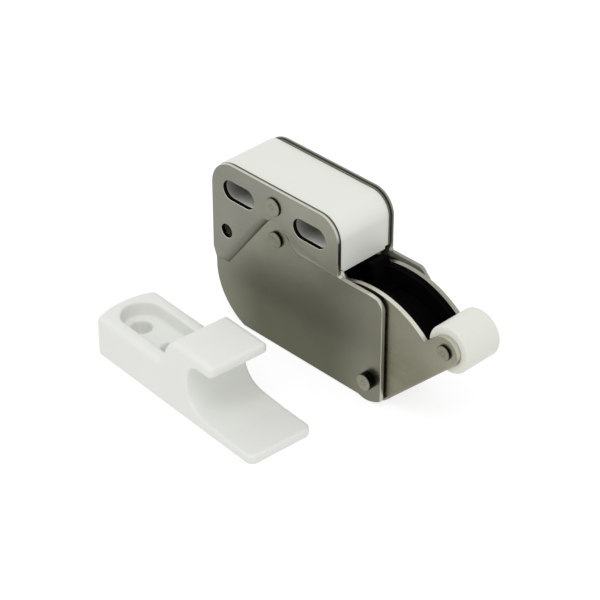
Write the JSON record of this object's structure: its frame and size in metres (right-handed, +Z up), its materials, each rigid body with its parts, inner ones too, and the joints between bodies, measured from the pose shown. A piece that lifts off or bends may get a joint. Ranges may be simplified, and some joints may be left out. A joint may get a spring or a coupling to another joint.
{
  "type": "touch latch",
  "caption": "Touch latch for a cabinet door: sprung roller arm between pressed nickel side plates on a white spacer block, with the hooked keeper it pulls in.",
  "frame": {"origin": "midway between the two screw slots, in the latch's middle plane", "axes": "+X along the latch towards the roller, +Y through its thickness towards the back plate, +Z up"},
  "size_m": [0.0595, 0.0365, 0.0305],
  "materials": {
    "nickel_plated_steel": "satin nickel plate",
    "rivet_steel": "satin nickel plate",
    "spring_steel": "drawn wire",
    "white_nylon": "moulded",
    "roller_nylon": "moulded",
    "keeper_nylon": "moulded",
    "black_acetal": "moulded"
  },
  "bodies": {
    "housing": {"side_plate_front": "nickel_plated_steel", "side_plate_back": "nickel_plated_steel", "spacer_block": "white_nylon", "block_rivet": "rivet_steel", "cross_rivet": "rivet_steel", "cross_sleeve": "rivet_steel", "fixing_tube": "rivet_steel", "pivot_pin": "rivet_steel", "pivot_bush": "rivet_steel", "pivot_washers": "rivet_steel", "torsion_spring": "spring_steel", "keeper": "keeper_nylon"},
    "arm": {"swing_arm": "nickel_plated_steel", "roller_axle": "rivet_steel", "latch_cam": "black_acetal"},
    "roller": {"roller": "roller_nylon"},
    "follower": {"cam_follower": "spring_steel"}
  },
  "joints": [
    {"name": "arm_swing", "type": "hinge", "parent": "housing", "child": "arm", "pos_m": [0.02078, 0, -0.0215], "axis": [0, -1, 0], "range_deg": [0, 48], "stiffness_Nm_per_rad": 0.03, "springref_deg": -57.3, "deforming": ["torsion_spring"]},
    {"name": "roller_spin", "type": "hinge", "parent": "arm", "child": "roller", "pos_m": [0.03534, 0, -0.00937], "axis": [0, 1, 0], "continuous": true},
    {"name": "follower_swing", "type": "hinge", "parent": "housing", "child": "follower", "pos_m": [0, 0, -0.00495], "axis": [0, -1, 0], "range_deg": [0, 12.2]}
  ]
}
